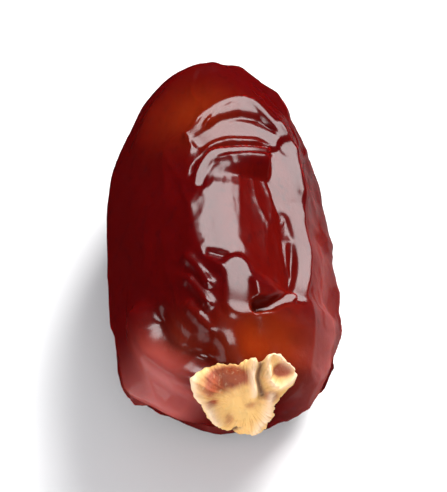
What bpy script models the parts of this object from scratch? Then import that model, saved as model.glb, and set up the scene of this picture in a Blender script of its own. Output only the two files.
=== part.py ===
"""A ripe date lying on its side: wrinkled skin and flesh in one body, and its dry, pale cap.

The fruit lies along Y, cap at -Y, tip at +Y, and rests on z = 0 on a small flat spot.
"""
import math

import bmesh
import bpy
import numpy as np
from mathutils import Vector, noise

MM = 0.001

# Driving dimensions of the fruit, in millimetres
FRUIT_WIDTH = 20.5        # across, along X
FRUIT_HEIGHT = 20.1       # between top and underside, before the flat spot is cut
STEM_HALF = 16.2          # from the widest section to the stem end
TIP_HALF = 25.2           # from the widest section to the tip
STEM_BLUNTNESS = 3.0      # exponent of the squarish stem end
TIP_BLUNTNESS = 2.08      # exponent of the rounder tip
FLAT_SPOT_DEPTH = 0.25    # how much of the underside the surface it rests on takes off
TIP_POINT = 0.5           # the small dry point at the tip
SEAT_DEPTH = 0.5          # the hollow round the cap
SEAT_RADIUS = 5.2
STEM_LEAN = 3.0           # how far the lower part of the stem end is set back

# Driving dimensions of the cap, in millimetres
CAP_EDGE = 0.45           # thickness at the rim
CAP_GAP = 0.34            # clear space between the cap and the skin
BLOCK_HEIGHT = 1.45       # the thick block, where the fruit hung from its strand
RIM_LIFT = 0.35           # how far the rim curls up

# How finely the surfaces are divided
FRUIT_FACES_PER_SIDE = 31
CAP_RINGS = 20
CAP_SEGMENTS = 60

# Folds of the skin: height and half-width in mm, then points as (mm from the stem end,
# degrees round from the top, towards +X). A negative height is a groove.
FOLDS = {
    "arch_left_leg": (0.4, 0.7, [(28, -7), (26.8, -11), (25.8, -14.5), (24.8, -17.5)]),
    "arch_right_leg": (0.4, 0.7, [(29.6, 43), (27.8, 45.5), (25.4, 46), (22.8, 45)]),
    "slant_fold_a": (0.45, 0.55, [(12.9, -20), (11.6, -15.5), (10, -11.5)]),
    "slant_fold_b": (0.45, 0.55, [(10.8, -21), (9.4, -17), (7.8, -13)]),
    "slant_fold_c": (0.35, 0.5, [(8.2, -24), (6.9, -19), (5.6, -14)]),
    "corner_fold": (1.2, 1.2, [(9.4, -54), (7.4, -54), (5.2, -50), (3.6, -43), (2.4, -34), (1.6, -22)]),
    "middle_ridge": (0.2, 0.8, [(7, 5), (5.6, 3), (4.4, -1), (3, 2), (1.8, 6)]),
    "notch": (-0.4, 0.5, [(12.3, -8), (12, 1), (11.7, 9)]),
    "left_hollow": (-1.1, 1.1, [(8.0, -43), (6.4, -38), (4.8, -29), (3.8, -20)]),
    "orange_hollow": (-0.6, 1.6, [(5.0, 14), (4.7, 25), (4.9, 38)]),
    "far_side_fold": (0.6, 1.5, [(12, 88), (17, 82), (22, 84), (28, 92), (33, 104)]),
    "far_side_groove": (-0.7, 1.5, [(7, 104), (14, 96), (21, 99), (29, 110)]),
    "far_low_fold": (0.6, 1.3, [(3, 132), (9, 124), (17, 120), (25, 124), (30, 132)]),
    "near_side_fold": (0.35, 1.5, [(13, -82), (19, -75), (26, -77), (32, -86)]),
    "near_low_fold": (0.6, 1.4, [(4, -118), (10, -108), (18, -104), (26, -108), (32, -120)]),
    "near_low_groove": (-0.55, 1.4, [(8, -124), (15, -118), (24, -121)]),
    "tip_fold_a": (0.5, 1.1, [(29, -48), (33, -36), (36, -20), (38, 8)]),
    "tip_fold_b": (0.45, 1.1, [(28, 78), (32.5, 70), (36, 62), (38.5, 40)]),
}

# Small bumps: height and half-width in mm, mm from the stem end, degrees round from the top
BUMPS = [
    (0.25, 1.0, 15.4, -32), (0.25, 0.9, 11.5, -26), (0.25, 1.1, 8.2, -46), (0.25, 1.0, 5.4, -30),
    (-0.4, 1.8, 19, 66), (-0.4, 1.8, 25, -48), (-0.35, 1.7, 12, 72), (-1.7, 3.0, 2.2, -114),
    (-1.8, 3.5, 1.4, -142), (0.7, 2.5, 4.5, -86),
    (-0.8, 4.2, 0.9, 180), (-1.0, 3.5, 6.5, 88), (-0.6, 4.5, 24, 80), (-0.7, 3.0, 2, 120),
]

# Facets: height in mm, rise per mm to the right and towards the tip, half-width, half-length,
# mm from the stem end, and degrees
FACETS = [
    (0.4, -0.15, -0.14, 2.0, 2.3, 9.4, 3), (0.05, -0.25, -0.2, 1.6, 1.3, 6.2, -3),
    (0.1, -0.2, -0.2, 1.4, 1.3, 4, 0), (0.15, 0.1, -0.3, 1.6, 0.8, 7.1, 19),
]

# The wide basin in the top, between a left and a right edge: (mm from the stem end, degrees)
BASIN_LEFT = [(4, 18), (8, 15), (10, 12), (11, 2), (12, -7), (13.5, -13), (15.6, -16), (18, -16.5),
              (20, -15), (22, -11), (24, -6)]
BASIN_RIGHT = [(4, 34), (6.6, 38), (8.8, 45), (11, 51.5), (14, 55), (17, 56), (21, 50), (24, 45)]
# Its cross-sections, from the left edge at 0 to the right edge at 1: heights in mm, for places
# that many mm from the stem end
BASIN_SHARES = [-0.2, 0, 0.12, 0.25, 0.36, 0.5, 0.65, 0.76, 0.86, 0.93, 1, 1.07, 1.25, 1.6, 2.1]
BASIN_SECTIONS = {
    8: [0, 0.25, -0.15, -0.6, -1, -1.35, -1.6, -1.65, -1.5, -1.3, -1.05, -0.9, -0.7, -0.3, 0],
    11: [0, 0.3, -0.15, -0.55, -0.9, -1.35, -1.75, -1.95, -2, -1.8, -1.55, -1.42, -1.2, -0.5, 0],
    14: [0, 0.3, -0.1, -0.5, -0.95, -1.5, -1.9, -2.1, -2.2, -2, -1.65, -1.5, -1.3, -0.55, 0],
    17: [0, 0.3, -0.1, -0.52, -0.92, -1.47, -1.9, -2.05, -1.95, -1.65, -1.33, -1.2, -1, -0.4, 0],
    21: [0, 0.25, -0.05, -0.45, -0.85, -1.35, -1.7, -1.78, -1.5, -1.15, -0.85, -0.72, -0.6, -0.2, 0],
    24: [0, 0.05, -0.1, -0.4, -0.75, -1.2, -1.45, -1.35, -1, -0.7, -0.45, -0.35, -0.25, -0.1, 0],
}
# How much of the basin there is near the stem end, as (mm from it, share)
BASIN_NEAR_END = [(5.4, 0), (6.4, 0.08), (7.9, 0.45), (9, 1)]

# The far end of the basin: an arched ridge, a groove, a flat band, a second groove and the
# basin's rim. Where the ridge and the rim lie, as (degrees, mm from the stem end):
ARCH_RIDGE = [(-16, 26.4), (-11, 28), (-6, 29.3), (4, 30.8), (17, 31.8), (30, 31.7), (41, 30.6),
              (47, 29)]
ARCH_RIM = [(-16, 21), (-8, 23.2), (-3, 24.1), (7, 24.7), (17, 24.9), (28, 25.1), (40, 25.1), (47, 24.4)]
# Heights in mm from the ridge at 0 to the rim at 1
ARCH_SECTION = [(-0.45, 0), (-0.15, 0.35), (0, 0.6), (0.17, 0.35), (0.27, -0.25), (0.32, -0.33),
                (0.4, -0.36), (0.68, -0.46), (0.75, -0.6), (0.8, -0.62), (0.86, -0.4),
                (0.93, -0.22), (0.98, -0.16), (1.08, -0.32), (1.25, -0.15), (1.5, 0)]

# How far the cap reaches from its middle, as (degrees round from the top towards +X, mm)
CAP_OUTLINE = [
    (-168, 5.5), (-147, 4.3), (-125, 3.9), (-100, 3.8), (-82, 4.1), (-72, 5.2), (-63, 5.8),
    (-46, 5.4), (-19, 4.6), (4, 4.2), (22, 4.3), (33, 4.1), (45, 5.1), (60, 5.5), (76, 5.6),
    (86, 4.3), (98, 3), (112, 2.7), (130, 2.9), (150, 3.8), (165, 4.8), (178, 5.4),
]
# Places on the cap are (mm to the right, mm up) from the stem end. Its middle:
CAP_MIDDLE = (0.7, 4.6)
# The corners of its thick block:
CAP_BLOCK = [(-2.9, 6), (-1.2, 6.1), (1.2, 5.3), (2.8, 4.6), (2.3, 1.6), (0.9, -0.3), (-0.8, -0.6),
             (-2, 1.8), (-2.6, 4.4)]
# Ridges and grooves of the cap: height, half-width, and points
CAP_FOLDS = [
    (0.5, 0.35, [(1.5, 8.3), (1.4, 6.8), (1.3, 5.4)]),
    (-0.75, 0.28, [(2.3, 8.6), (2.15, 6.8), (2.2, 4.6), (2.4, 3.4)]),
    (0.35, 0.35, [(3.0, 7.8), (4.3, 7.9), (5.4, 6.9), (5.4, 5.8), (4.4, 5.3), (3.2, 5.1)]),
    (0.3, 0.35, [(-4.1, 6.6), (-3.6, 7.6), (-2, 8.3), (-0.1, 8.4)]),
    (-0.3, 0.3, [(0.1, 1.4), (-0.4, 0.2), (-0.5, -1.2)]),
]
# Dishes of the cap: depth, half-width across, half-height, and place
CAP_DISHES = [
    (0.45, 1.8, 0.8, -0.7, 7.3), (0.45, 1.0, 0.7, 4, 6.6), (0.35, 1.3, 1.3, 0.1, 3.4),
    (0.35, 0.4, 0.4, 0.1, 2.8), (0.2, 0.8, 0.6, -3.2, 6.6),
]


def smooth_step(low, high, value):
    """0 below low, 1 above high, and a smooth rise between them."""
    part = np.clip((value - low) / (high - low), 0.0, 1.0)
    return part * part * (3.0 - 2.0 * part)


def outline_of_revolution():
    """The smooth fruit's half outline at even steps of length: length, mm from the widest
    section, and radius as a share of the widest one."""
    turn = np.linspace(0.0, math.pi / 2, 1500)
    stem_along = -STEM_HALF * np.cos(turn) ** (2 / STEM_BLUNTNESS)
    stem_share = np.sin(turn) ** (2 / STEM_BLUNTNESS)
    tip_along = TIP_HALF * np.sin(turn) ** (2 / TIP_BLUNTNESS)
    tip_share = np.cos(turn) ** (2 / TIP_BLUNTNESS)
    along = np.concatenate([stem_along, tip_along[1:]])
    share = np.concatenate([stem_share, tip_share[1:]])
    step = np.hypot(np.diff(along), np.diff(share) * FRUIT_WIDTH / 2)
    length = np.concatenate([[0.0], np.cumsum(step)])
    even = np.linspace(0.0, length[-1], 3000)
    return even, np.interp(even, length, along), np.interp(even, length, share)


LENGTHS, ALONGS, SHARES = outline_of_revolution()
ALONG_SLOPES = np.gradient(ALONGS, LENGTHS)
SHARE_SLOPES = np.gradient(SHARES, LENGTHS)


def smooth_skin(length, turn):
    """Points and outward normals of the smooth fruit, at lengths from the stem end along its
    outline and angles round from the top."""
    along = np.interp(length, LENGTHS, ALONGS)
    share = np.interp(length, LENGTHS, SHARES)
    along_slope = np.interp(length, LENGTHS, ALONG_SLOPES)
    share_slope = np.interp(length, LENGTHS, SHARE_SLOPES)
    half_width = FRUIT_WIDTH / 2
    half_height = FRUIT_HEIGHT / 2
    across = np.sin(turn)
    upward = np.cos(turn)
    points = np.stack([half_width * share * across, along, half_height * share * upward], -1)
    normals = np.stack([half_height * along_slope * across,
                        -half_width * half_height * share_slope,
                        half_width * along_slope * upward], -1)
    normals /= np.linalg.norm(normals, axis=-1, keepdims=True)
    return points, normals


def on_smooth_skin(from_stem, degrees):
    """A point of the smooth fruit, given by its distance from the stem end along Y."""
    length = np.interp(from_stem - STEM_HALF, ALONGS, LENGTHS)
    point, _ = smooth_skin(np.array([length]), np.array([math.radians(degrees)]))
    return point[0]


def smooth_path(corners, steps=5):
    """A Catmull-Rom curve through the corners, as points."""
    ends = [2 * corners[0] - corners[1]] + corners + [2 * corners[-1] - corners[-2]]
    path = []
    for before, start, end, after in zip(ends, ends[1:], ends[2:], ends[3:]):
        for step in range(steps):
            t = step / steps
            path.append(0.5 * (2 * start + (end - before) * t
                               + (2 * before - 5 * start + 4 * end - after) * t * t
                               + (3 * start - before - 3 * end + after) * t ** 3))
    path.append(corners[-1])
    return path


def distance_to_path(points, path):
    """Distance from each point to the nearest place on a path."""
    nearest = np.full(len(points), 1e9)
    for start, end in zip(path, path[1:]):
        run = end - start
        part = np.clip((points - start) @ run / (run @ run), 0.0, 1.0)
        gap = points - start - part[:, None] * run
        nearest = np.minimum(nearest, np.einsum("ij,ij->i", gap, gap))
    return np.sqrt(nearest)


def noise_at(points, across, along, seed):
    """Smooth noise from -1 to 1 at each point, with its own grain across and along the fruit."""
    shift = Vector((seed * 7.3, seed * 3.1, seed * 5.7))
    return np.array([noise.noise(Vector((x / across, y / along, z / across)) + shift)
                     for x, y, z in points.tolist()])


def wander(points, size, reach, seed):
    """The points pushed about by smooth noise, so that folds drawn from them waver."""
    pushes = [noise_at(points, size, size, 20 + 3 * seed + axis) for axis in range(3)]
    return points + reach * np.stack(pushes, axis=-1)


def crests(points, across, along, seed):
    """1 on the thin crests of a net of wrinkles and 0 in the wide valleys between them."""
    return np.clip(1.0 - 3.2 * np.abs(noise_at(points, across, along, seed)), 0.0, 1.0) ** 1.5


def rounded(corners, place, radius):
    """Heights at places along a section that is given by its corners, with the corners rounded."""
    places, heights = zip(*corners)
    fine = np.arange(places[0] - 2 * radius, places[-1] + 2 * radius, radius / 8)
    section = np.interp(fine, places, heights)
    window = np.hanning(19)[1:-1]
    section = np.convolve(np.pad(section, 8, mode="edge"), window / window.sum(), "valid")
    return np.interp(place, fine, section)


def basin(from_stem, degrees):
    """Height of the basin in the top of the fruit."""
    left = np.interp(from_stem, *zip(*BASIN_LEFT))
    right = np.interp(from_stem, *zip(*BASIN_RIGHT))
    across = (degrees - left) / (right - left)
    stations = list(BASIN_SECTIONS)
    sections = [rounded(list(zip(BASIN_SHARES, heights)), across, 0.03)
                for heights in BASIN_SECTIONS.values()]
    height = sections[0]
    for before, after, section in zip(stations, stations[1:], sections[1:]):
        height = height + smooth_step(before, after, from_stem) * (section - height)
    rim = np.interp(degrees, *zip(*ARCH_RIM))
    inside = rounded(BASIN_NEAR_END, from_stem, 0.5) * smooth_step(0.4, 2.2, rim - from_stem)
    return inside * height


def arches(from_stem, degrees):
    """Height of the arched ridge, the grooves and the rim at the far end of the basin."""
    ridge = np.interp(degrees, *zip(*ARCH_RIDGE))
    rim = np.interp(degrees, *zip(*ARCH_RIM))
    height = rounded(ARCH_SECTION, (ridge - from_stem) / (ridge - rim), 0.025)
    return height * smooth_step(-15.5, -9.5, degrees) * (1.0 - smooth_step(42, 51, degrees))


def facets(points):
    """Height of the small tilted facets."""
    height = np.zeros(len(points))
    for level, to_right, to_tip, half_width, half_length, from_stem, degrees in FACETS:
        gap = points - on_smooth_skin(from_stem, degrees)
        turn = math.radians(degrees)
        across = gap[:, 0] * math.cos(turn) - gap[:, 2] * math.sin(turn)
        outward = gap[:, 0] * math.sin(turn) + gap[:, 2] * math.cos(turn)
        window = np.exp(-(across / half_width) ** 4 - (gap[:, 1] / half_length) ** 4)
        window *= outward > -6.0
        height += window * (level + to_right * across + to_tip * gap[:, 1])
    return height


def relief(points, length, turn):
    """How far the wrinkled skin stands out from the smooth fruit, in mm."""
    wavering = wander(points, 4.0, 0.4, 1)
    ridges = np.zeros(len(points))
    grooves = np.zeros(len(points))
    for fold_height, half_width, corners in FOLDS.values():
        path = smooth_path([on_smooth_skin(*corner) for corner in corners])
        fold = fold_height * np.exp(-(distance_to_path(wavering, path) / half_width) ** 2)
        ridges = np.maximum(ridges, fold)
        grooves = np.minimum(grooves, fold)
    height = ridges + grooves
    waver_turn = np.degrees(np.arctan2(wavering[:, 0] / FRUIT_WIDTH, wavering[:, 2] / FRUIT_HEIGHT))
    height += basin(wavering[:, 1] + STEM_HALF, waver_turn)
    height += arches(wavering[:, 1] + STEM_HALF, waver_turn) + facets(wavering)
    for bump_height, half_width, from_stem, degrees in BUMPS:
        gap = np.linalg.norm(wavering - on_smooth_skin(from_stem, degrees), axis=-1)
        height += bump_height * np.exp(-(gap / half_width) ** 2)

    # A net of lengthwise wrinkles, strongest away from the smooth side and the big folds
    patches = 0.5 + 0.5 * np.clip(2.5 * noise_at(points, 9.0, 13.0, 2), -1.0, 1.0)
    smooth_side = np.exp(-((np.degrees(turn) + 70.0) / 42.0) ** 2)
    drawn_area = np.exp(-((np.degrees(turn) - 15.0) / 45.0) ** 2)
    strength = (0.35 + 0.65 * patches) * (1.0 - 0.75 * smooth_side) * (1.0 - 0.88 * drawn_area)
    net = wander(points, 5.0, 1.6, 3)
    height += strength * (0.75 * crests(net, 5.2, 13.0, 4) + 0.3 * crests(net, 2.9, 6.5, 5) - 0.3)
    height += 0.5 * (1.0 - 0.85 * drawn_area) * noise_at(points, 8.0, 12.0, 6)
    height += 0.1 * strength * crests(wander(net, 1.5, 0.5, 7), 1.1, 2.6, 8)

    # Furrows that run into the cap, the hollow it sits in, and the small point at the tip
    stem_share = np.exp(-((length - 7.0) / 3.2) ** 2)
    height += 0.22 * stem_share * np.sin(9 * turn + 1.3 * np.sin(2 * turn + 0.6))
    seat = np.hypot(length * np.sin(turn) - CAP_MIDDLE[0], length * np.cos(turn) - CAP_MIDDLE[1])
    height -= SEAT_DEPTH * (1.0 - smooth_step(SEAT_RADIUS * 0.75, SEAT_RADIUS * 1.35, seat))
    from_tip = LENGTHS[-1] - length
    height *= smooth_step(-1.0, 7.0, from_tip)
    height += TIP_POINT * np.exp(-(from_tip / 1.1) ** 2)

    # The underside is nearly smooth, because it is pressed where it lies
    return height * smooth_step(-0.96, -0.66, points[:, 2] / (FRUIT_HEIGHT / 2))


def skin(length, turn):
    """Points of the wrinkled skin, and the smooth fruit's normals there."""
    points, normals = smooth_skin(length, turn)
    wrinkled = points + normals * relief(points, length, turn)[:, None]

    # The lower part of the stem end is set back
    low = smooth_step(-0.35, 0.7, -points[:, 2] / (FRUIT_HEIGHT / 2))
    across = points[:, 0] / (FRUIT_WIDTH / 2)
    share = 0.9 + 1.2 * across ** 2 + 0.4 * (across + np.sqrt(across ** 2 + 0.04))
    wrinkled[:, 1] += STEM_LEAN * low * share * smooth_step(7.0, 15.0, -points[:, 1])
    return wrinkled, normals


def make_fruit_mesh():
    """The fruit as a cube rounded to a ball, whose places give lengths and angles on the skin."""
    shape = bmesh.new()
    bmesh.ops.create_cube(shape, size=2.0)
    bmesh.ops.subdivide_edges(shape, edges=shape.edges[:], cuts=FRUIT_FACES_PER_SIDE - 1,
                              use_grid_fill=True)
    ball = np.array([tuple(vert.co) for vert in shape.verts])
    ball = np.tan(ball * math.pi / 4)
    ball /= np.linalg.norm(ball, axis=1, keepdims=True)
    length = LENGTHS[-1] * np.arccos(np.clip(-ball[:, 1], -1.0, 1.0)) / math.pi
    turn = np.arctan2(ball[:, 0], ball[:, 2])
    points, _ = skin(length, turn)
    for vert, point in zip(shape.verts, points):
        vert.co = point * MM
    bmesh.ops.smooth_vert(shape, verts=shape.verts[:], factor=0.3, use_axis_x=True,
                          use_axis_y=True, use_axis_z=True)
    cut_flat_spot(shape)
    return shape


def cut_flat_spot(shape):
    """Takes the lowest part of the underside off along a level plane."""
    level = (-FRUIT_HEIGHT / 2 + FLAT_SPOT_DEPTH) * MM
    everything = shape.verts[:] + shape.edges[:] + shape.faces[:]
    bmesh.ops.bisect_plane(shape, geom=everything, dist=1e-6, plane_co=(0, 0, level),
                           plane_no=(0, 0, -1), clear_outer=True)
    rim = [edge for edge in shape.edges if edge.is_boundary]
    bmesh.ops.contextual_create(shape, geom=rim)
    face_outwards(shape)


def face_outwards(shape):
    """Turns every face of a closed shape outwards."""
    bmesh.ops.recalc_face_normals(shape, faces=shape.faces[:])
    if shape.calc_volume(signed=True) < 0.0:
        bmesh.ops.reverse_faces(shape, faces=shape.faces[:])


def cap_reach(turn):
    """How far the cap reaches from its middle, with its lobes and ragged rim."""
    directions, reaches = zip(*CAP_OUTLINE)
    reach = np.interp(np.degrees(turn), directions, reaches, period=360.0)
    for step in (0.03, 0.06):
        reach = (np.interp(np.degrees(turn + step), directions, reaches, period=360.0) + reach
                 + np.interp(np.degrees(turn - step), directions, reaches, period=360.0)) / 3
    ragged = 0.1 * np.sin(9 * turn + 0.7) + 0.07 * np.sin(23 * turn + 2.0) + 0.04 * np.sin(51 * turn)
    return reach + ragged


def in_block(flat):
    """How far each place of the cap lies inside its thick block, negative outside."""
    inside = np.full(len(flat), 1e9)
    for start, end in zip(CAP_BLOCK, CAP_BLOCK[1:] + CAP_BLOCK[:1]):
        run = np.subtract(end, start)
        normal = np.array([run[1], -run[0]]) / np.hypot(*run)
        inside = np.minimum(inside, -(flat - start) @ normal)
    return inside


def patches_at(flat, patches):
    """The sum of soft oval patches at places of the cap."""
    total = np.zeros(len(flat))
    for strength, half_width, half_height, across, up in patches:
        total += strength * np.exp(-((flat[:, 0] - across) / half_width) ** 2
                                   - ((flat[:, 1] - up) / half_height) ** 2)
    return total


def cap_height(flat, turn):
    """Height of the cap's face over its edge's foot, at places (mm to the right, mm up)."""
    wavy = np.stack([flat[:, 0], flat[:, 1], np.zeros(len(flat))], -1)
    wavy = wander(wavy, 1.6, 0.3, 9)[:, :2]
    height = BLOCK_HEIGHT * smooth_step(-0.45, 0.5, in_block(wavy)) - patches_at(wavy, CAP_DISHES)
    for fold_height, half_width, corners in CAP_FOLDS:
        path = smooth_path([np.array(corner) for corner in corners])
        height += fold_height * np.exp(-(distance_to_path(wavy, path) / half_width) ** 2)
    reach = np.hypot(*(flat - CAP_MIDDLE).T)
    fibres = 0.06 * np.sin(37 * turn + 3 * np.sin(5 * turn)) + 0.04 * np.sin(83 * turn)
    height += fibres * smooth_step(1.0, 3.0, reach)
    rough = np.stack([flat[:, 0], flat[:, 1], np.zeros(len(flat))], -1)
    height += 0.16 * noise_at(rough, 1.1, 1.5, 10) + 0.07 * noise_at(rough, 0.45, 0.6, 11)
    return np.maximum(CAP_EDGE + height, 0.2)


def make_cap_mesh():
    """The cap as a flattened ball: its upper half is the outer face, its lower half lies
    along the skin."""
    shape = bmesh.new()
    bmesh.ops.create_uvsphere(shape, u_segments=CAP_SEGMENTS, v_segments=2 * CAP_RINGS, radius=1.0)
    ball = np.array([tuple(vert.co) for vert in shape.verts])
    turn = np.arctan2(ball[:, 0], ball[:, 1])
    fall = np.arccos(np.clip(ball[:, 2], -1.0, 1.0)) / (math.pi / 2)
    outer = fall < 1.0 + 1e-6
    share = np.where(outer, fall, 2.0 - fall)
    reach = share * cap_reach(turn)
    flat = np.stack([reach * np.sin(turn), reach * np.cos(turn)], -1) + CAP_MIDDLE
    points, normals = skin(np.hypot(*flat.T), np.arctan2(*flat.T))
    rim = np.sqrt(np.clip(1.0 - share ** 8, 0.0, 1.0))
    lift = RIM_LIFT * smooth_step(0.72, 1.0, share) * (0.7 + 0.5 * np.sin(3 * turn + 1.0))
    height = cap_height(flat, turn)
    upper = CAP_GAP + lift + height * (0.4 + 0.6 * rim)
    lower = CAP_GAP + lift + 0.4 * height * (1.0 - rim)
    points += normals * np.where(outer, upper, lower)[:, None]
    for vert, point in zip(shape.verts, points):
        vert.co = point * MM
    face_outwards(shape)
    return shape


def make_material(name, colour, roughness, coat):
    material = bpy.data.materials.new(name)
    material.use_nodes = True
    shader = material.node_tree.nodes["Principled BSDF"]
    shader.inputs["Base Color"].default_value = (*colour, 1.0)
    shader.inputs["Roughness"].default_value = roughness
    shader.inputs["Metallic"].default_value = 0.0
    shader.inputs["Coat Weight"].default_value = coat
    return material


def make_object(name, shape, material, collection):
    mesh = bpy.data.meshes.new(name)
    shape.to_mesh(mesh)
    shape.free()
    mesh.shade_smooth()
    mesh.materials.append(material)
    item = bpy.data.objects.new(name, mesh)
    collection.objects.link(item)
    return item


def set_on_floor(items):
    """Moves the meshes so that they stand on z = 0 with the origin under their middle."""
    corners = np.array([tuple(vert.co) for item in items for vert in item.data.vertices])
    low = corners.min(axis=0)
    high = corners.max(axis=0)
    shift = Vector((-(low[0] + high[0]) / 2, -(low[1] + high[1]) / 2, -low[2]))
    for item in items:
        for vert in item.data.vertices:
            vert.co += shift


def main():
    for item in list(bpy.data.objects):
        bpy.data.objects.remove(item, do_unlink=True)
    collection = bpy.data.collections.new("date_fruit")
    bpy.context.scene.collection.children.link(collection)
    skin_material = make_material("date_skin", (0.11, 0.006, 0.006), 0.25, 0.5)
    cap_material = make_material("dry_cap", (0.86, 0.58, 0.27), 0.7, 0.0)
    fruit = make_object("fruit", make_fruit_mesh(), skin_material, collection)
    cap = make_object("calyx", make_cap_mesh(), cap_material, collection)
    set_on_floor([fruit, cap])


main()
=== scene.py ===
"""A ripe date on a pale floor: glossy wrinkled skin, and the dry pale cap at its stem end."""
import math

import bmesh
import bpy
import numpy as np
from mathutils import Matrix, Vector, noise


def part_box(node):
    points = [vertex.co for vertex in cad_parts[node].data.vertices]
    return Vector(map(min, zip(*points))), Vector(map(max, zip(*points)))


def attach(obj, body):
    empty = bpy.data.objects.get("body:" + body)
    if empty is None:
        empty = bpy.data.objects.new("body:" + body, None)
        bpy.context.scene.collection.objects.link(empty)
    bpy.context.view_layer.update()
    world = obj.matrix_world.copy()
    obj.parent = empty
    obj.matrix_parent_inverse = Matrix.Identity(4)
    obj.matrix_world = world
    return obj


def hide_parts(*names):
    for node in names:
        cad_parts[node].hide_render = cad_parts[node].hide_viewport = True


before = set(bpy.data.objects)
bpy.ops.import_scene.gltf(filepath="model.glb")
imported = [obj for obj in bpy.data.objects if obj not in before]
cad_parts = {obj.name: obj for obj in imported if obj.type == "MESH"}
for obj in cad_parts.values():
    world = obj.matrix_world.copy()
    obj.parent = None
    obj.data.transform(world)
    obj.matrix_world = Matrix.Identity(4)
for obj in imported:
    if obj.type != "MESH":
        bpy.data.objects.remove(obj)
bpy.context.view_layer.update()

MM = 0.001

# The smooth fruit under the wrinkles, in millimetres, as the solid has it
FRUIT_WIDTH = 20.5
FRUIT_HEIGHT = 20.1
STEM_HALF = 16.2
TIP_HALF = 25.2
FLAT_SPOT_DEPTH = 0.25
# Powers of the outline's two ends: 2 is an ellipse, and more is blunter
STEM_BLUNTNESS = 3.0
TIP_BLUNTNESS = 2.08
# The small point at the tip
TIP_POINT = 0.5
TIP_POINT_RADIUS = 1.1
# The shallow hollow that the cap sits in, and how far the lower stem end is set back
SEAT_DEPTH = 0.5
SEAT_RADIUS = 5.2
STEM_LEAN = 3.0

# The cap, in millimetres
CAP_EDGE = 0.45
CAP_GAP = 0.12
BLOCK_HEIGHT = 1.45
RIM_LIFT = 0.35

# How fine the meshes are
SKIN_FACES_PER_SIDE = 118
CAP_RINGS = 90
CAP_SEGMENTS = 300

# Folds of the skin: height and half-width in mm, then points as (mm from the stem end,
# degrees round from the top, towards +X). A negative height is a groove.
FOLDS = {
    "arch_left_leg": (0.4, 0.7, [(28.6, -6), (27.8, -9.5), (27.0, -12.5)]),
    "arch_right_leg": (0.4, 0.7, [(29.6, 43), (27.8, 45.5), (25.4, 46), (22.8, 45)]),
    "slant_fold_a": (0.45, 0.55, [(12.9, -20), (11.6, -15.5), (10, -11.5)]),
    "slant_fold_b": (0.45, 0.55, [(10.8, -21), (9.4, -17), (7.8, -13)]),
    "slant_fold_c": (0.35, 0.5, [(8.2, -24), (6.9, -19), (5.6, -14)]),
    "corner_fold": (1.2, 1.2, [(9.4, -54), (7.4, -54), (5.2, -50), (3.6, -43), (2.4, -34), (1.6, -22)]),
    "notch": (-0.4, 0.45, [(13.1, -8), (12.8, 1), (12.5, 9)]),
    "left_hollow": (-1.1, 1.1, [(8.0, -43), (6.4, -38), (4.8, -29), (3.8, -20)]),
    "orange_hollow": (-0.6, 1.6, [(5.0, 14), (4.7, 25), (4.9, 38)]),
    "far_side_fold": (0.6, 1.5, [(12, 88), (17, 82), (22, 84), (28, 92), (33, 104)]),
    "far_side_groove": (-0.7, 1.5, [(7, 104), (14, 96), (21, 99), (29, 110)]),
    "far_low_fold": (0.6, 1.3, [(3, 132), (9, 124), (17, 120), (25, 124), (30, 132)]),
    "near_side_fold": (0.35, 1.5, [(13, -82), (19, -75), (26, -77), (32, -86)]),
    "near_low_fold": (0.6, 1.4, [(4, -118), (10, -108), (18, -104), (26, -108), (32, -120)]),
    "near_low_groove": (-0.55, 1.4, [(8, -124), (15, -118), (24, -121)]),
    "tip_fold_a": (0.5, 1.1, [(29, -48), (33, -36), (36, -20), (38, 8)]),
    "tip_fold_b": (0.45, 1.1, [(28, 78), (32.5, 70), (36, 62), (38.5, 40)]),
}

# Small bumps: height and half-width in mm, mm from the stem end, degrees round from the top
BUMPS = [
    (0.25, 1.0, 15.4, -32), (0.25, 0.9, 11.5, -26), (0.25, 1.1, 8.2, -46), (0.25, 1.0, 5.4, -30),
    (-0.4, 1.8, 19, 66), (-0.4, 1.8, 25, -48), (-0.35, 1.7, 12, 72), (-1.7, 3.0, 2.2, -114),
    (-1.8, 3.5, 1.4, -142), (0.7, 2.5, 4.5, -86),
    (-0.8, 4.2, 0.9, 180), (-1.0, 3.5, 6.5, 88), (-0.6, 4.5, 24, 80), (-0.7, 3.0, 2, 120),
]

# Facets: height in mm, rise per mm to the right and towards the tip, half-width, half-length,
# mm from the stem end, and degrees. None shows more than 6 mm under its own place.
FACET_REACH_INWARDS = -6.0
FACETS = [
    (0.1, -0.12, 0, 1.3, 1.1, 5.9, -3), (0.1, -0.12, 0, 1.4, 1.2, 3.6, 0),
]

# The wide basin in the top, between a left and a right edge: (mm from the stem end, degrees)
BASIN_LEFT = [(4, 18), (8, 15), (10, 12), (11, 2), (12, -7), (13.5, -13), (15.6, -16), (18, -16.5),
              (20, -15), (22, -11), (24, -6)]
BASIN_RIGHT = [(4, 34), (6.6, 38), (8.8, 45), (11, 51.5), (14, 55), (17, 56), (21, 50), (24, 45)]
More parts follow.
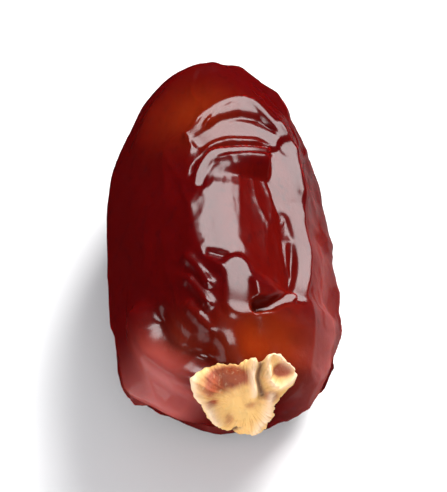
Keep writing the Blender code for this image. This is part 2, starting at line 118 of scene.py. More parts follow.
# Its cross-sections, from the left edge at 0 to the right edge at 1: heights in mm, for places
# that many mm from the stem end
BASIN_SHARES = [-0.2, 0, 0.12, 0.25, 0.36, 0.5, 0.65, 0.76, 0.86, 0.93, 1, 1.07, 1.25, 1.6, 2.1]
BASIN_SECTIONS = {
    8: [0, 0.25, -0.15, -0.6, -1, -1.35, -1.6, -1.7, -1.65, -1.45, -1.2, -1.05, -0.85, -0.35, 0],
    11: [0, 0.32, -0.2, -0.66, -0.98, -1.5, -1.85, -2, -1.98, -1.75, -1.42, -1.3, -1.1, -0.45, 0],
    14: [0, 0.32, -0.22, -0.7, -1.02, -1.6, -2, -2.12, -2.05, -1.78, -1.4, -1.28, -1.08, -0.45, 0],
    17: [0, 0.32, -0.22, -0.7, -1.02, -1.58, -1.95, -2, -1.8, -1.45, -1.1, -0.98, -0.8, -0.35, 0],
    21: [0, 0.3, -0.2, -0.65, -0.95, -1.45, -1.8, -1.9, -1.62, -1.2, -0.8, -0.62, -0.45, -0.15, 0],
    24: [0, 0.1, -0.2, -0.5, -0.8, -1.2, -1.42, -1.38, -1, -0.65, -0.35, -0.2, -0.15, -0.05, 0],
}
# How much of the basin there is near the stem end, as (mm from it, share)
BASIN_NEAR_END = [(5.4, 0), (6.6, 0.1), (9, 0.55), (11.5, 1)]

# The far end of the basin: an arched ridge, a groove, a flat band, a second groove and the
# basin's rim. Where the ridge and the rim lie, as (degrees, mm from the stem end):
ARCH_RIDGE = [(-16, 26.4), (-11, 28), (-6, 29.3), (4, 30.8), (17, 31.8), (30, 31.7), (41, 30.6),
              (47, 29)]
ARCH_RIM = [(-16, 21), (-8, 23.2), (-3, 24.1), (7, 24.7), (17, 24.9), (28, 25.1), (40, 25.1), (47, 24.4)]
# Heights in mm from the ridge at 0 to the rim at 1
ARCH_SECTION = [(-0.45, 0), (-0.15, 0.3), (0, 0.45), (0.2, 0), (0.3, -0.45), (0.45, -0.45),
                (0.62, -0.35), (0.79, -1.1), (0.92, -0.3), (1, -0.15), (1.1, -0.35), (1.3, -0.2),
                (1.5, 0)]

# Narrow flat strips that catch the light: half-width in mm, then points as (mm from the stem
# end, degrees round from the top, height in mm). All face the same way, and the height is
# measured that way from the fruit's middle line.
STRIP_FACING = (0.258, -0.05, 0.965)
STRIPS = {
    "basin_rim": (0.55, [(21.2, -11, 8.5), (22.5, -9.5, 8.52), (23.9, -6, 8.55), (24.9, -1, 8.58),
                         (25.4, 10, 8.5), (25.8, 22, 8.35), (26, 32, 8.05)]),
    "band_beyond_rim": (0.95, [(26.7, -9, 7.5), (27.4, -3, 7.6), (28, 6, 7.65), (28.2, 16, 7.65),
                               (28.3, 28, 7.6), (27.7, 38, 7.5)]),
    "arched_ridge": (0.38, [(27.3, -15, 7.55), (28.1, -9, 7.7), (29.7, -2, 7.85), (30.8, 6, 7.85),
                            (31.6, 15, 7.8), (31.6, 25, 7.75), (30.4, 33, 7.65), (28.9, 41, 7.5),
                            (27.5, 46, 7.35)]),
    "right_band_far_outer": (1.1, [(27, 46.5, 7.2), (25.2, 45.5, 7.35), (22.8, 44.5, 7.4),
                                   (20.4, 46, 7.3)]),
    "right_band_far_inner": (1.1, [(25.5, 39, 7.33), (23.2, 38.5, 7.4), (20.9, 40.5, 7.33)]),
    "right_band_near": (0.9, [(20.4, 46.5, 7.3), (18.2, 49.5, 7.25), (16, 51.5, 7.2),
                              (13.8, 50.5, 7.3), (12, 48, 7.45), (10.6, 45, 7.65)]),
    "right_band_hook": (0.6, [(10, 39, 8.35), (8.9, 29, 8.45), (8.1, 22, 8.53), (7.6, 13, 8.6)]),
    "middle_flat": (1.35, [(11.8, 5, 9.9), (9.4, 4.5, 9.85), (7.8, 3.5, 9.68)]),
}

# Patches of painted pinkish sheen on the skin: strength, mm along it from the stem end, reach,
# direction, spread
PAINTED_SHEEN_PATCHES = [
    (0.9, 9, 3.5, -85, 32), (0.6, 9, 3, -48, 14), (0.6, 10, 4, 80, 28), (0.4, 18, 7, 70, 12),
    (0.5, 7, 3, 170, 60), (0.7, 6.6, 2, -54, 22),
]

# Amber patches, where the skin is thin and the flesh shines through, as above
AMBER_PATCHES = [
    (0.9, 10, 3, 21, 25), (0.35, 11, 2.5, -38, 16), (0.3, 37, 4, -12, 26),
]

# The net of lengthwise wrinkles is weak on one smooth side and in the drawn area on top. Both
# are given by their middle and their spread, in degrees round from the top.
SMOOTH_SIDE = (-70.0, 42.0)
DRAWN_AREA = (15.0, 45.0)

# How far the cap reaches from its middle, as (degrees round from the top towards +X, mm)
CAP_OUTLINE = [
    (-165, 4.9), (-155, 4.7), (-135, 3.8), (-115, 3.5), (-84, 4.1), (-66, 4.9), (-59, 5.6),
    (-51, 5.2), (-42, 4.8), (-27, 4.3), (-12, 4), (-2, 3.9), (7, 4.2), (16, 4.3), (24, 4),
    (29, 4.7), (35, 5.3), (56, 5.3), (70, 5.4), (76, 5), (83, 3.6), (93, 2.7), (115, 2.5),
    (140, 3.1), (159, 4.3), (172, 5.3), (-175, 5.5),
]
# Places on the cap are (mm to the right, mm up) from the stem end. Its middle:
CAP_MIDDLE = (0.7, 4.6)
# The corners of its thick block:
CAP_BLOCK = [(-2.9, 6), (-1.2, 6.1), (1.2, 5.3), (2.8, 4.6), (2.3, 1.6), (0.9, -0.3), (-0.8, -0.6),
             (-2, 1.8), (-2.6, 4.4)]
# Ridges and grooves of the cap: height, half-width, and points
CAP_FOLDS = [
    (0.5, 0.35, [(1.6, 8.5), (1.4, 7.1), (1.35, 5.8)]),
    (-0.8, 0.3, [(2.3, 8.8), (2.1, 7.4), (1.95, 6.2), (2.1, 5.3)]),
    (0.4, 0.32, [(2.9, 6.8), (3.1, 8.2), (3.7, 8.7), (4.5, 8.1), (5.2, 7.3), (5.6, 6.4), (4.6, 5.8),
                 (3.5, 5.9), (2.9, 6.5)]),
    (0.35, 0.4, [(-3.9, 7.4), (-3.7, 6.5), (-3.1, 5.2), (-2.5, 3.9), (-1.8, 2.2)]),
    (0.3, 0.4, [(3, 5.2), (2.7, 4), (2.1, 2.2), (1.3, 0.2)]),
    (-0.4, 0.28, [(-0.1, 1), (-0.5, 0.1), (-0.6, -1)]),
]
# Dishes of the cap: depth, half-width across, half-height, and place
CAP_DISHES = [
    (0.5, 1.5, 0.7, -0.5, 7.2), (0.45, 0.9, 0.7, 4.3, 7.1), (0.35, 1.3, 1.3, 0.1, 3.4),
    (0.35, 0.4, 0.4, 0.1, 2.8), (0.3, 0.6, 0.5, -2.3, 5),
]
# Orange patches of the cap, the strongest in its dishes: strength, half-width across, half-height, and
# place
CAP_ORANGE_PATCHES = [
    (1.3, 1.5, 0.75, -0.5, 7.4), (0.6, 1.5, 1.0, -1.8, 6.7), (1.3, 0.9, 0.6, 4.4, 7.1),
    (0.7, 0.5, 0.4, -2.3, 5), (0.4, 0.8, 0.5, 1.1, 4.4), (0.35, 0.5, 0.8, -0.9, 2.6),
    (0.6, 0.7, 0.6, 3, 5),
]

# Colours of the skin and of the cap
DARK_RED = (0.062, 0.001, 0.0012)
WARM_RED = (0.09, 0.002, 0.001)
SPECK_BROWN = (0.03, 0.0012, 0.002)
AMBER = (0.3, 0.03, 0.003)
PAINTED_SHEEN_PINK = (0.3, 0.062, 0.055)
CAP_TAN = (0.78, 0.45, 0.145)
PATCH_ORANGE = (0.34, 0.055, 0.007)
RIDGE_HIGHLIGHT_CREAM = (0.8, 0.58, 0.38)
CRACK_SHADE_BROWN = (0.09, 0.018, 0.005)
FIBRE_CREAM = (0.78, 0.55, 0.3)
FLOOR_GREY = (0.86, 0.86, 0.86)

# The camera looks down on the fruit from the side of the cap, as the photograph does
CAMERA_AZIMUTH = -4.5
CAMERA_ELEVATION = 53.0
CAMERA_LENS = 300.0
FRUIT_SHARE_OF_HEIGHT = 0.747


def smooth_step(low, high, value):
    """0 below low, 1 above high, and a smooth rise between them."""
    part = np.clip((value - low) / (high - low), 0.0, 1.0)
    return part * part * (3.0 - 2.0 * part)


def outline_of_revolution():
    """The smooth fruit's half outline at even steps of length: length, mm from the widest
    section, and radius as a share of the widest one."""
    turn = np.linspace(0.0, math.pi / 2, 1500)
    stem_along = -STEM_HALF * np.cos(turn) ** (2 / STEM_BLUNTNESS)
    stem_share = np.sin(turn) ** (2 / STEM_BLUNTNESS)
    tip_along = TIP_HALF * np.sin(turn) ** (2 / TIP_BLUNTNESS)
    tip_share = np.cos(turn) ** (2 / TIP_BLUNTNESS)
    along = np.concatenate([stem_along, tip_along[1:]])
    share = np.concatenate([stem_share, tip_share[1:]])
    step = np.hypot(np.diff(along), np.diff(share) * FRUIT_WIDTH / 2)
    length = np.concatenate([[0.0], np.cumsum(step)])
    even = np.linspace(0.0, length[-1], 3000)
    return even, np.interp(even, length, along), np.interp(even, length, share)


LENGTHS, ALONGS, SHARES = outline_of_revolution()
ALONG_SLOPES = np.gradient(ALONGS, LENGTHS)
SHARE_SLOPES = np.gradient(SHARES, LENGTHS)


def smooth_skin(length, turn):
    """Points and outward normals of the smooth fruit, at lengths from the stem end along its
    outline and angles round from the top."""
    along = np.interp(length, LENGTHS, ALONGS)
    share = np.interp(length, LENGTHS, SHARES)
    along_slope = np.interp(length, LENGTHS, ALONG_SLOPES)
    share_slope = np.interp(length, LENGTHS, SHARE_SLOPES)
    half_width = FRUIT_WIDTH / 2
    half_height = FRUIT_HEIGHT / 2
    across = np.sin(turn)
    upward = np.cos(turn)
    points = np.stack([half_width * share * across, along, half_height * share * upward], -1)
    normals = np.stack([half_height * along_slope * across,
                        -half_width * half_height * share_slope,
                        half_width * along_slope * upward], -1)
    normals /= np.linalg.norm(normals, axis=-1, keepdims=True)
    return points, normals


def on_smooth_skin(from_stem, degrees):
    """A point of the smooth fruit, given by its distance from the stem end along Y."""
    length = np.interp(from_stem - STEM_HALF, ALONGS, LENGTHS)
    point, _ = smooth_skin(np.array([length]), np.array([math.radians(degrees)]))
    return point[0]


def smooth_path(corners, steps=5):
    """A smooth curve through the corners, as points."""
    ends = [2 * corners[0] - corners[1]] + corners + [2 * corners[-1] - corners[-2]]
    path = []
    for before, start, end, after in zip(ends, ends[1:], ends[2:], ends[3:]):
        for step in range(steps):
            t = step / steps
            path.append(0.5 * (2 * start + (end - before) * t
                               + (2 * before - 5 * start + 4 * end - after) * t * t
                               + (3 * start - before - 3 * end + after) * t ** 3))
    path.append(corners[-1])
    return path


def distance_to_path(points, path):
    """Distance from each point to the nearest place on a path."""
    nearest = np.full(len(points), 1e9)
    for start, end in zip(path, path[1:]):
        run = end - start
        part = np.clip((points - start) @ run / (run @ run), 0.0, 1.0)
        gap = points - start - part[:, None] * run
        nearest = np.minimum(nearest, np.einsum("ij,ij->i", gap, gap))
    return np.sqrt(nearest)


def noise_at(points, across, along, seed):
    """Smooth noise from -1 to 1 at each point, with its own grain across and along the fruit."""
    shift = Vector((seed * 7.3, seed * 3.1, seed * 5.7))
    return np.array([noise.noise(Vector((x / across, y / along, z / across)) + shift)
                     for x, y, z in points.tolist()])


def wander(points, size, reach, seed):
    """The points pushed about by smooth noise, so that folds drawn from them waver."""
    pushes = [noise_at(points, size, size, 20 + 3 * seed + axis) for axis in range(3)]
    return points + reach * np.stack(pushes, axis=-1)


def crests(points, across, along, seed):
    """1 on the thin crests of a net of wrinkles and 0 in the wide valleys between them."""
    return np.clip(1.0 - 3.2 * np.abs(noise_at(points, across, along, seed)), 0.0, 1.0) ** 1.5


def rounded(corners, place, radius):
    """Heights at places along a section that is given by its corners, with the corners rounded."""
    places, heights = zip(*corners)
    fine = np.arange(places[0] - 2 * radius, places[-1] + 2 * radius, radius / 8)
    section = np.interp(fine, places, heights)
    window = np.hanning(19)[1:-1]
    section = np.convolve(np.pad(section, 8, mode="edge"), window / window.sum(), "valid")
    return np.interp(place, fine, section)


def basin(from_stem, degrees):
    """Height of the basin in the top of the fruit."""
    left = np.interp(from_stem, *zip(*BASIN_LEFT))
    right = np.interp(from_stem, *zip(*BASIN_RIGHT))
    across = (degrees - left) / (right - left)
    stations = list(BASIN_SECTIONS)
    sections = [rounded(list(zip(BASIN_SHARES, heights)), across, 0.03)
                for heights in BASIN_SECTIONS.values()]
    height = sections[0]
    for before, after, section in zip(stations, stations[1:], sections[1:]):
        height = height + smooth_step(before, after, from_stem) * (section - height)
    rim = np.interp(degrees, *zip(*ARCH_RIM))
    from_rim = (rim - from_stem - 0.4) / (1.8 + 1.8 * smooth_step(0.78, 0.95, across))
    inside = rounded(BASIN_NEAR_END, from_stem, 0.5) * smooth_step(0.0, 1.0, from_rim)
    return inside * height


def arches(from_stem, degrees):
    """Height of the arched ridge, the grooves and the rim at the far end of the basin."""
    ridge = np.interp(degrees, *zip(*ARCH_RIDGE))
    rim = np.interp(degrees, *zip(*ARCH_RIM))
    height = rounded(ARCH_SECTION, (ridge - from_stem) / (ridge - rim), 0.025)
    return height * smooth_step(-17, -9, degrees) * (1.0 - smooth_step(37, 48, degrees))


def facets(points):
    """Height of the small tilted facets."""
    height = np.zeros(len(points))
    for level, to_right, to_tip, half_width, half_length, from_stem, degrees in FACETS:
        gap = points - on_smooth_skin(from_stem, degrees)
        turn = math.radians(degrees)
        across = gap[:, 0] * math.cos(turn) - gap[:, 2] * math.sin(turn)
        outward = gap[:, 0] * math.sin(turn) + gap[:, 2] * math.cos(turn)
        window = np.exp(-(across / half_width) ** 4 - (gap[:, 1] / half_length) ** 4)
        window *= outward > FACET_REACH_INWARDS
        height += window * (level + to_right * across + to_tip * gap[:, 1])
    return height


def let_in_strips(points, normals, height):
    """The height with the flat strips let into it."""
    facing = np.array(STRIP_FACING)
    for half_width, corners in STRIPS.values():
        track = smooth_path([on_smooth_skin(from_stem, degrees) for from_stem, degrees, _ in corners])
        levels = smooth_path([np.array([level]) for _, _, level in corners])
        nearest = np.full(len(points), 1e9)
        wanted = np.zeros(len(points))
        for start, end, first, last in zip(track, track[1:], levels, levels[1:]):
            run = end - start
            part = np.clip((points - start) @ run / (run @ run), 0.0, 1.0)
            gap = np.linalg.norm(points - start - part[:, None] * run, axis=-1)
            closer = gap < nearest
            nearest[closer] = gap[closer]
            wanted[closer] = (first[0] + part * (last[0] - first[0]))[closer]
        flat = (wanted - points @ facing) / np.maximum(normals @ facing, 0.2)
        height = height + np.exp(-(nearest / half_width) ** 6) * (flat - height)
    return height


def relief(points, normals, length, turn):
    """How far the wrinkled skin stands out from the smooth fruit, in mm."""
    wavering = wander(points, 4.0, 0.3, 1)
    ridges = np.zeros(len(points))
    grooves = np.zeros(len(points))
    for fold_height, half_width, corners in FOLDS.values():
        path = smooth_path([on_smooth_skin(*corner) for corner in corners])
        fold = fold_height * np.exp(-(distance_to_path(wavering, path) / half_width) ** 2)
        ridges = np.maximum(ridges, fold)
        grooves = np.minimum(grooves, fold)
    height = ridges + grooves
    waver_turn = np.degrees(np.arctan2(wavering[:, 0] / FRUIT_WIDTH, wavering[:, 2] / FRUIT_HEIGHT))
    height += basin(wavering[:, 1] + STEM_HALF, waver_turn)
    height += arches(wavering[:, 1] + STEM_HALF, waver_turn) + facets(wavering)
    for bump_height, half_width, from_stem, degrees in BUMPS:
        gap = np.linalg.norm(wavering - on_smooth_skin(from_stem, degrees), axis=-1)
        height += bump_height * np.exp(-(gap / half_width) ** 2)

    # A net of lengthwise wrinkles, strongest away from the smooth side and the big folds
    patches = 0.5 + 0.5 * np.clip(2.5 * noise_at(points, 9.0, 13.0, 2), -1.0, 1.0)
    smooth_side = np.exp(-((np.degrees(turn) - SMOOTH_SIDE[0]) / SMOOTH_SIDE[1]) ** 2)
    drawn_area = np.exp(-((np.degrees(turn) - DRAWN_AREA[0]) / DRAWN_AREA[1]) ** 2)
    strength = (0.35 + 0.65 * patches) * (1.0 - 0.75 * smooth_side) * (1.0 - 0.88 * drawn_area)
    net = wander(points, 5.0, 1.6, 3)
    height += strength * (0.75 * crests(net, 5.2, 13.0, 4) + 0.3 * crests(net, 2.9, 6.5, 5) - 0.3)
    height += 0.5 * (1.0 - 0.85 * drawn_area) * noise_at(points, 8.0, 12.0, 6)
    height += 0.1 * strength * crests(wander(net, 1.5, 0.5, 7), 1.1, 2.6, 8)
    height = let_in_strips(points, normals, height)

    # Furrows that run into the cap, the hollow it sits in, and the small point at the tip
    stem_share = np.exp(-((length - 7.0) / 3.2) ** 2)
    height += 0.22 * stem_share * np.sin(9 * turn + 1.3 * np.sin(2 * turn + 0.6))
    seat = np.hypot(length * np.sin(turn) - CAP_MIDDLE[0], length * np.cos(turn) - CAP_MIDDLE[1])
    height -= SEAT_DEPTH * (1.0 - smooth_step(SEAT_RADIUS * 0.75, SEAT_RADIUS * 1.35, seat))
    from_tip = LENGTHS[-1] - length
    height *= smooth_step(-1.0, 7.0, from_tip)
    height += TIP_POINT * np.exp(-(from_tip / TIP_POINT_RADIUS) ** 2)

    # The underside is nearly smooth, because it is pressed where it lies
    return height * smooth_step(-0.96, -0.66, points[:, 2] / (FRUIT_HEIGHT / 2))


def skin(length, turn):
    """Points of the wrinkled skin, the smooth fruit's normals there, and the relief."""
    points, normals = smooth_skin(length, turn)
    height = relief(points, normals, length, turn)
    wrinkled = points + normals * height[:, None]

    # The lower part of the stem end is set back
    low = smooth_step(-0.35, 0.7, -points[:, 2] / (FRUIT_HEIGHT / 2))
    across = points[:, 0] / (FRUIT_WIDTH / 2)
    share = 0.9 + 1.2 * across ** 2 + 0.4 * (across + np.sqrt(across ** 2 + 0.04))
    wrinkled[:, 1] += STEM_LEAN * low * share * smooth_step(7.0, 15.0, -points[:, 1])
    return wrinkled, normals, height


def face_outwards(shape):
    """Turns every face of a closed shape outwards."""
    bmesh.ops.recalc_face_normals(shape, faces=shape.faces[:])
    if shape.calc_volume(signed=True) < 0.0:
        bmesh.ops.reverse_faces(shape, faces=shape.faces[:])


def frame_offset(points):
    """From the fruit's own middle to where its solid lies, in mm."""
    low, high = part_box("fruit")
    middle = (points.min(axis=0) + points.max(axis=0)) / 2
    return np.array([(low[0] + high[0]) / 2 / MM - middle[0], (low[1] + high[1]) / 2 / MM - middle[1],
                     FRUIT_HEIGHT / 2 - FLAT_SPOT_DEPTH])


def add_number(mesh, name, values):
    """Keeps one number for each vertex, for a material to read."""
    attribute = mesh.attributes.new(name, "FLOAT", "POINT")
    attribute.data.foreach_set("value", np.asarray(values, dtype=np.float32))


def patches_on_skin(length, turn, patches):
    """The sum of soft patches on the skin."""
    degrees = np.degrees(turn)
    share = np.zeros(len(length))
    for strength, from_stem, reach, direction, spread in patches:
        apart = (degrees - direction + 180.0) % 360.0 - 180.0
        share += strength * np.exp(-((length - from_stem) / reach) ** 2 - (apart / spread) ** 2)
    return np.clip(share, 0.0, 1.0)


def make_skin():
    """The skin, as a cube's grid blown up to a ball and then to the wrinkled fruit."""
    shape = bmesh.new()
    bmesh.ops.create_cube(shape, size=2.0)
    bmesh.ops.subdivide_edges(shape, edges=shape.edges[:], cuts=SKIN_FACES_PER_SIDE - 1,
                              use_grid_fill=True)
    ball = np.array([tuple(vert.co) for vert in shape.verts])
    ball = np.tan(ball * math.pi / 4)
    ball /= np.linalg.norm(ball, axis=1, keepdims=True)
    length = LENGTHS[-1] * np.arccos(np.clip(-ball[:, 1], -1.0, 1.0)) / math.pi
    turn = np.arctan2(ball[:, 0], ball[:, 2])
    points, normals, height = skin(length, turn)
    flat_spot = -FRUIT_HEIGHT / 2 + FLAT_SPOT_DEPTH
    points[:, 2] = np.maximum(points[:, 2], flat_spot)
    offset = frame_offset(points)
    points += offset
    for vert, point in zip(shape.verts, points):
        vert.co = point * MM
    face_outwards(shape)
    piece = finish_piece(shape, "wrinkled_skin")
    add_number(piece.data, "relief", height)
    # Each vertex keeps its share of painted sheen
    add_number(piece.data, "painted_sheen", patches_on_skin(length, turn, PAINTED_SHEEN_PATCHES))
    add_number(piece.data, "amber", patches_on_skin(length, turn, AMBER_PATCHES))
    return piece, offset


def finish_piece(shape, name):
    mesh = bpy.data.meshes.new(name)
    shape.to_mesh(mesh)
    shape.free()
    mesh.shade_smooth()
    piece = bpy.data.objects.new(name, mesh)
    bpy.context.scene.collection.objects.link(piece)
    return piece


def cap_reach(turn):
    """How far the cap reaches from its middle, with its lobes and ragged rim."""
    directions, reaches = zip(*CAP_OUTLINE)
    reach = np.interp(np.degrees(turn), directions, reaches, period=360.0)
    for step in (0.03, 0.06):
        reach = (np.interp(np.degrees(turn + step), directions, reaches, period=360.0) + reach
                 + np.interp(np.degrees(turn - step), directions, reaches, period=360.0)) / 3
    ragged = 0.1 * np.sin(9 * turn + 0.7) + 0.07 * np.sin(23 * turn + 2.0) + 0.04 * np.sin(51 * turn)
    return reach + ragged


def in_block(flat):
    """How far each place of the cap lies inside its thick block, negative outside."""
    inside = np.full(len(flat), 1e9)
    for start, end in zip(CAP_BLOCK, CAP_BLOCK[1:] + CAP_BLOCK[:1]):
        run = np.subtract(end, start)
        normal = np.array([run[1], -run[0]]) / np.hypot(*run)
        inside = np.minimum(inside, -(flat - start) @ normal)
    return inside


def patches_at(flat, patches):
    """The sum of soft oval patches at places of the cap."""
    total = np.zeros(len(flat))
    for strength, half_width, half_height, across, up in patches:
        total += strength * np.exp(-((flat[:, 0] - across) / half_width) ** 2
                                   - ((flat[:, 1] - up) / half_height) ** 2)
    return total


def cap_height(flat, turn):
    """Height of the cap's face at places (mm to the right, mm up), and the shares of ridge and
    of crack there."""
    level = np.stack([flat[:, 0], flat[:, 1], np.zeros(len(flat))], -1)
    wavy = wander(level, 1.6, 0.3, 9)[:, :2]
    height = BLOCK_HEIGHT * smooth_step(-0.45, 0.5, in_block(wavy)) - patches_at(wavy, CAP_DISHES)
    ridge = np.zeros(len(flat))
    crack = np.zeros(len(flat))
    for fold_height, half_width, corners in CAP_FOLDS:
        path = smooth_path([np.array(corner) for corner in corners])
        fold = np.exp(-(distance_to_path(wavy, path) / half_width) ** 2)
        ridge = np.maximum(ridge, fold * (fold_height > 0))
        crack = np.maximum(crack, fold * (fold_height < 0))
        height += fold_height * fold
    reach = np.hypot(*(flat - CAP_MIDDLE).T)
    fibres = 0.06 * np.sin(37 * turn + 3 * np.sin(5 * turn)) + 0.04 * np.sin(83 * turn)
    height += fibres * smooth_step(1.0, 3.0, reach)
    height += 0.16 * noise_at(level, 1.1, 1.5, 10) + 0.07 * noise_at(level, 0.45, 0.6, 11)
    return np.maximum(CAP_EDGE + height, 0.2), ridge, crack


def make_cap(offset):
    """The cap, as a flattened ball: its upper half is the face, and its lower half the back."""
    shape = bmesh.new()
    bmesh.ops.create_uvsphere(shape, u_segments=CAP_SEGMENTS, v_segments=2 * CAP_RINGS, radius=1.0)
    ball = np.array([tuple(vert.co) for vert in shape.verts])
    turn = np.arctan2(ball[:, 0], ball[:, 1])
    fall = np.arccos(np.clip(ball[:, 2], -1.0, 1.0)) / (math.pi / 2)
    outer = fall < 1.0 + 1e-6
    share = np.where(outer, fall, 2.0 - fall)
    reach = share * cap_reach(turn)
    flat = np.stack([reach * np.sin(turn), reach * np.cos(turn)], -1) + CAP_MIDDLE
    points, normals, _ = skin(np.hypot(*flat.T), np.arctan2(*flat.T))
    rim = np.sqrt(np.clip(1.0 - share ** 8, 0.0, 1.0))
    lift = RIM_LIFT * smooth_step(0.72, 1.0, share) * (0.7 + 0.5 * np.sin(3 * turn + 1.0))
    height, ridge, crack = cap_height(flat, turn)
    upper = CAP_GAP + lift + height * (0.4 + 0.6 * rim)
    lower = CAP_GAP + lift + 0.4 * height * (1.0 - rim)
    points += normals * np.where(outer, upper, lower)[:, None]
    points += offset
    for vert, point in zip(shape.verts, points):
        vert.co = point * MM
    face_outwards(shape)
    piece = finish_piece(shape, "dry_cap")
    add_number(piece.data, "orange_share", np.clip(patches_at(flat, CAP_ORANGE_PATCHES), 0.0, 1.0))
    add_number(piece.data, "ridge", ridge)
    add_number(piece.data, "crack", crack)
    return piece


class Socket:
    """A node's output, with the operators that the materials use."""

    def __init__(self, maker, output):
        self.maker = maker
        self.output = output

    def _maths(self, operation, first, second):
        return self.maker.node("ShaderNodeMath", {"operation": operation}, {0: first, 1: second})

    def __add__(self, other):
        return self._maths("ADD", self, other)

    def __radd__(self, other):
        return self._maths("ADD", other, self)

    def __sub__(self, other):
        return self._maths("SUBTRACT", self, other)

    def __rsub__(self, other):
        return self._maths("SUBTRACT", other, self)

    def __mul__(self, other):
        return self._maths("MULTIPLY", self, other)

    def __rmul__(self, other):
        return self._maths("MULTIPLY", other, self)


class Finish:
    """A material under construction."""

    def __init__(self, name):
        self.material = bpy.data.materials.new(name)
        self.material.use_nodes = True
        self.tree = self.material.node_tree
        self.tree.nodes.clear()
        self.shader = self.tree.nodes.new("ShaderNodeBsdfPrincipled")
        output = self.tree.nodes.new("ShaderNodeOutputMaterial")
        self.tree.links.new(self.shader.outputs[0], output.inputs["Surface"])
        coordinates = self.tree.nodes.new("ShaderNodeTexCoord")
        self.place = Socket(self, coordinates.outputs["Object"])

    def node(self, kind, settings, inputs, output=0):
        """Adds a node and gives one of its outputs."""
        made = self.tree.nodes.new(kind)
        for key, value in settings.items():
            setattr(made, key, value)
        for key, value in inputs.items():
            if isinstance(value, Socket):
                self.tree.links.new(value.output, made.inputs[key])
            else:
                made.inputs[key].default_value = value
        return Socket(self, made.outputs[output])

    def number(self, name):
        """A number that each vertex keeps."""
        return self.node("ShaderNodeAttribute", {"attribute_name": name}, {}, "Fac")

    def noise(self, across, along, detail, roughness):
        """Noise with its grain in mm across and along the fruit."""
        scale = (1 / (across * MM), 1 / (along * MM), 1 / (across * MM))
        place = self.node("ShaderNodeMapping", {}, {"Vector": self.place, "Scale": scale})
        return self.node("ShaderNodeTexNoise", {},
                         {"Vector": place, "Scale": 1.0, "Detail": detail, "Roughness": roughness},
                         "Fac")

    def step(self, value, low, high):
        """0 below low, 1 above high, and a smooth rise between them."""
        return self.node("ShaderNodeMapRange", {"interpolation_type": "SMOOTHSTEP"},
                         {"Value": value, "From Min": low, "From Max": high})

    def mix(self, share, first, second):
        """The first colour, with that share of the second."""
        made = self.tree.nodes.new("ShaderNodeMix")
        made.data_type = "RGBA"
        for index, value in ((0, share), (6, first), (7, second)):
            if isinstance(value, Socket):
                self.tree.links.new(value.output, made.inputs[index])
            elif index == 0:
                made.inputs[index].default_value = value
            else:
                made.inputs[index].default_value = (*value, 1.0)
        return Socket(self, made.outputs[2])

    def bump(self, height, distance):
        """A bumped normal, for a height of 1 that stands for that many mm."""
        return self.node("ShaderNodeBump", {}, {"Height": height, "Distance": distance * MM}, "Normal")

    def set(self, **values):
        """Sets or links the shader's inputs."""
        for key, value in values.items():
            socket = self.shader.inputs[key.replace("_", " ").title().replace("Ior", "IOR")]
            if isinstance(value, Socket):
                self.tree.links.new(value.output, socket)
            elif isinstance(value, tuple) and len(value) == 3 and "Color" in socket.name:
                socket.default_value = (*value, 1.0)
            else:
                socket.default_value = value


def glossy_skin():
    finish = Finish("glossy_skin")
    relief_mm = finish.number("relief")
    blotches = finish.noise(5.0, 8.0, 3.0, 0.55)
    specks = finish.noise(0.8, 1.2, 3.0, 0.6)
    valley = 1.0 - finish.step(relief_mm, -1.0, 0.25)
    amber = finish.number("amber") * (0.4 + blotches)
    warm = finish.step(valley * 0.75 + blotches * 0.6, 0.75, 1.25)
    colour = finish.mix(warm, DARK_RED, WARM_RED)
    colour = finish.mix(finish.step(specks, 0.52, 0.75) * 0.5, colour, SPECK_BROWN)
    colour = finish.mix(amber, colour, AMBER)
    # Painted sheen: pale pinkish patches mixed into the skin's colour
    painted_sheen = finish.number("painted_sheen") * (0.5 + blotches)
    colour = finish.mix(painted_sheen, colour, PAINTED_SHEEN_PINK)
    fine = finish.noise(0.35, 0.6, 4.0, 0.6)
    pits = finish.noise(0.12, 0.12, 2.0, 0.5)
    finish.set(base_color=colour, roughness=0.34 + 0.12 * fine, metallic=0.0,
               subsurface_weight=0.35, subsurface_radius=(1.0, 0.16, 0.06),
               subsurface_scale=2.2 * MM, coat_weight=0.3, coat_roughness=0.19,
               specular_ior_level=0.0,
               normal=finish.bump(fine * 0.8 + pits * 0.2, 0.05))
    return finish.material


def dry_cap():
    finish = Finish("dry_cap_fibre")
    fibre = finish.noise(0.4, 0.9, 4.0, 0.6)
    patches = finish.noise(1.6, 1.6, 3.0, 0.55)
    orange_share = finish.step(finish.number("orange_share") + patches * 0.7 - 0.35, 0.0, 0.65)
    colour = finish.mix(orange_share, CAP_TAN, PATCH_ORANGE)
    # Painted highlight: the raised ridges of the cap are lightened to cream
    colour = finish.mix(finish.number("ridge") * (0.3 + patches), colour, RIDGE_HIGHLIGHT_CREAM)
    # Painted shade: the grooves of the cap are darkened to brown
    colour = finish.mix(finish.number("crack") * 0.9, colour, CRACK_SHADE_BROWN)
    colour = finish.mix(finish.step(fibre, 0.55, 0.75) * 0.35, colour, FIBRE_CREAM)
    finish.set(base_color=colour, roughness=0.65, metallic=0.0,
               subsurface_weight=0.2, subsurface_radius=(1.0, 0.5, 0.25), subsurface_scale=0.8 * MM,
               normal=finish.bump(fibre, 0.15))
    return finish.material


def pale_floor():
    finish = Finish("pale_floor")
    finish.set(base_color=FLOOR_GREY, roughness=0.7)
    return finish.material


def look_at(item, place, target):
    item.location = place
    item.rotation_mode = "QUATERNION"
    item.rotation_quaternion = (Vector(target) - Vector(place)).to_track_quat("-Z", "Y")


def direction(azimuth, elevation):
    """From the fruit towards a place at that azimuth and elevation."""
    a = math.radians(azimuth)
    e = math.radians(elevation)
    return Vector((math.sin(a) * math.cos(e), -math.cos(a) * math.cos(e), math.sin(e)))


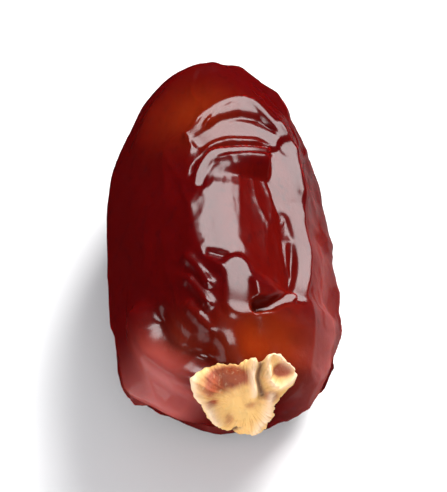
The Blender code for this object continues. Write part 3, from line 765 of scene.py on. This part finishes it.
def area_light(name, width, height, power, place, target):
    light = bpy.data.lights.new(name, "AREA")
    light.shape = "RECTANGLE"
    light.size = width
    light.size_y = height
    light.energy = power
    item = bpy.data.objects.new(name, light)
    bpy.context.scene.collection.objects.link(item)
    look_at(item, place, target)
    return item


def softbox(name, azimuth, elevation, distance, width, height, power):
    """A rectangle of light, in metres and watts, that faces the fruit."""
    place = direction(azimuth, elevation) * distance
    return area_light(name, width, height, power, place, (0, 0, 0.01))


def bounce_card(name, middle, width, height, power):
    """A card of light on the floor beside the fruit that shows only in its gloss."""
    item = area_light(name, width, height, power, (*middle, 0.0005), (*middle, 1.0))
    item.visible_camera = False
    item.visible_diffuse = False


def make_studio():
    """The world, the lights and the floor."""
    world = bpy.data.worlds.new("studio")
    world.use_nodes = True
    background = world.node_tree.nodes["Background"]
    background.inputs["Color"].default_value = (0.9, 0.92, 1.0, 1.0)
    background.inputs["Strength"].default_value = 0.35
    world.cycles_visibility.glossy = False
    bpy.context.scene.world = world
    bpy.context.scene.view_settings.view_transform = "Standard"
    softbox("key_softbox", azimuth=139.0, elevation=45.0, distance=0.5,
            width=0.25, height=0.25, power=5.2)
    softbox("front_left_fill", azimuth=-65.0, elevation=12.0, distance=0.6,
            width=0.5, height=0.25, power=1.6)
    top_light = softbox("top_front_light", azimuth=18.0, elevation=67.0, distance=0.5,
                        width=0.2, height=0.2, power=2.6)
    top_light.visible_diffuse = False
    even_light = softbox("even_front_light", azimuth=-10.0, elevation=42.0, distance=0.6,
                         width=0.5, height=0.5, power=1.9)
    even_light.visible_glossy = False
    bounce_card("left_bounce", (-0.04, -0.035), width=0.055, height=0.045, power=0.012)
    bounce_card("right_bounce", (0.05, 0.0), width=0.07, height=0.06, power=0.012)

    shape = bmesh.new()
    bmesh.ops.create_grid(shape, x_segments=1, y_segments=1, size=3.0)
    floor = finish_piece(shape, "floor")
    floor.data.materials.append(pale_floor())
    floor.visible_glossy = False


def make_camera(pieces):
    """The camera, so far back that the fruit fills its share of the picture's height."""
    camera = bpy.data.cameras.new("camera")
    camera.lens = CAMERA_LENS
    item = bpy.data.objects.new("camera", camera)
    bpy.context.scene.collection.objects.link(item)
    back = direction(CAMERA_AZIMUTH, CAMERA_ELEVATION)
    right = Vector((0, 0, 1)).cross(back).normalized()
    up = back.cross(right)
    corners = [vert.co for piece in pieces for vert in piece.data.vertices]
    heights = [corner.dot(up) for corner in corners]
    sides = [corner.dot(right) for corner in corners]
    middle = (up * (max(heights) + min(heights)) + right * (max(sides) + min(sides))) / 2
    seen_height = (max(heights) - min(heights)) / FRUIT_SHARE_OF_HEIGHT
    distance = seen_height * CAMERA_LENS / camera.sensor_width
    look_at(item, middle + back * distance, middle)
    camera.clip_start = distance * 0.1
    camera.clip_end = distance * 20
    bpy.context.scene.camera = item


def main():
    skin_piece, offset = make_skin()
    skin_piece.data.materials.append(glossy_skin())
    cap_piece = make_cap(offset)
    cap_piece.data.materials.append(dry_cap())
    for piece, node, slot in ((skin_piece, "fruit", "skin"), (cap_piece, "calyx", "cap")):
        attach(piece, "root")
        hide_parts(node)
    make_studio()
    make_camera([skin_piece, cap_piece])


main()
